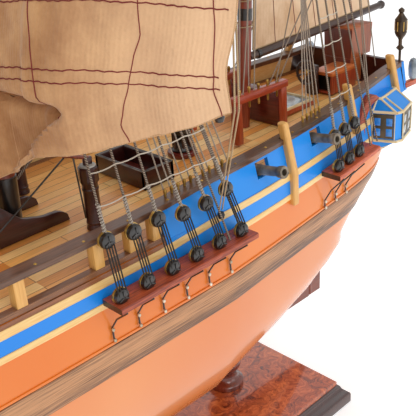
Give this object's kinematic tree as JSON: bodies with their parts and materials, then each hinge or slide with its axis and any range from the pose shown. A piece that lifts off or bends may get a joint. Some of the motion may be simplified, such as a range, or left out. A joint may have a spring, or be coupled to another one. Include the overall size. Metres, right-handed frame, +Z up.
{
  "type": "ship model",
  "caption": "Wooden display model of a three-masted bark with square sails, an open waist, gun ports and channels, standing on a moulded plinth by turned pedestals",
  "frame": {"origin": "centre of the plinth's underside", "axes": "+X runs to the bow, +Y to port, +Z up; the keel lies along X"},
  "size_m": [0.9896, 0.3552, 0.79],
  "materials": {
    "plinth_veneer": "high gloss varnish over burl veneer",
    "pedestal_wood": "gloss varnish",
    "keel_wood": "gloss varnish",
    "hull_varnish": "gloss orange varnish over planks",
    "deck_planks": "satin",
    "blue_paint": "satin paint",
    "rail_wood": "gloss dark varnish",
    "channel_wood": "gloss red-brown varnish",
    "light_wood": "satin varnish",
    "spar_wood": "dark stain",
    "mast_wood": "satin varnish",
    "walnut": "satin varnish",
    "dark_red_wood": "dark red paint",
    "black_wood": "black paint",
    "gun_bronze": "dark patina",
    "sailcloth": "tan linen"
  },
  "bodies": {
    "ship": {"plinth": "plinth_veneer", "pedestal_aft": "pedestal_wood", "pedestal_fore": "pedestal_wood", "keel_and_stem": "keel_wood", "hull": "hull_varnish", "deck": "deck_planks", "transom": "blue_paint", "bulwark_port": "blue_paint", "bulwark_starboard": "blue_paint", "bow_bulwark_port": "blue_paint", "bow_bulwark_starboard": "blue_paint", "cap_rail_port": "rail_wood", "cap_rail_starboard": "rail_wood", "channel_fore_port": "channel_wood", "channel_fore_starboard": "channel_wood", "channel_main_port": "channel_wood", "channel_main_starboard": "channel_wood", "channel_mizzen_port": "channel_wood", "channel_mizzen_starboard": "channel_wood", "quarter_badge_port": "light_wood", "quarter_badge_starboard": "light_wood", "pump_port": "spar_wood", "pump_starboard": "spar_wood", "gun_port_1": "gun_bronze", "gun_port_2": "gun_bronze", "gun_starboard_1": "gun_bronze", "gun_starboard_2": "gun_bronze", "fore_mast": "mast_wood", "main_mast": "mast_wood", "mizzen_mast": "mast_wood", "bowsprit": "mast_wood", "fore_course_yard": "spar_wood", "fore_course_sail": "sailcloth", "fore_topsail_yard": "spar_wood", "fore_topsail_sail": "sailcloth", "fore_topgallant_yard": "spar_wood", "fore_topgallant_sail": "sailcloth", "main_course_yard": "spar_wood", "main_course_sail": "sailcloth", "main_topsail_yard": "spar_wood", "main_topsail_sail": "sailcloth", "main_topgallant_yard": "spar_wood", "main_topgallant_sail": "sailcloth", "mizzen_topsail_yard": "spar_wood", "mizzen_topsail_sail": "sailcloth", "jib_sail": "sailcloth", "after_hatch": "dark_red_wood", "main_hatch": "dark_red_wood", "main_bitts": "walnut", "fife_rail": "channel_wood", "skylight": "channel_wood", "rudder_trunk": "mast_wood", "windlass_bitts": "walnut"},
    "rudder": {"rudder": "keel_wood"},
    "helm": {"helm_wheel": "spar_wood"},
    "capstan": {"capstan": "black_wood"},
    "windlass": {"windlass_barrel": "black_wood"},
    "spanker": {"boom": "spar_wood", "gaff": "spar_wood", "spanker_sail": "sailcloth"}
  },
  "joints": [
    {"name": "rudder_turn", "type": "hinge", "parent": "ship", "child": "rudder", "pos_m": [-0.2866, 0, 0.117], "axis": [0, 0, 1], "range_deg": [-30, 30]},
    {"name": "helm_spin", "type": "hinge", "parent": "ship", "child": "helm", "pos_m": [-0.287, 0, 0.247], "axis": [1, 0, 0], "continuous": true},
    {"name": "capstan_spin", "type": "hinge", "parent": "ship", "child": "capstan", "pos_m": [-0.156, 0, 0.233], "axis": [0, 0, 1], "continuous": true},
    {"name": "windlass_spin", "type": "hinge", "parent": "ship", "child": "windlass", "pos_m": [0.232, 0, 0.236], "axis": [0, 1, 0], "continuous": true},
    {"name": "spanker_swing", "type": "hinge", "parent": "ship", "child": "spanker", "pos_m": [-0.215, 0, 0.2225], "axis": [-0.0872, 0, 0.9962], "range_deg": [-12, 12]}
  ]
}
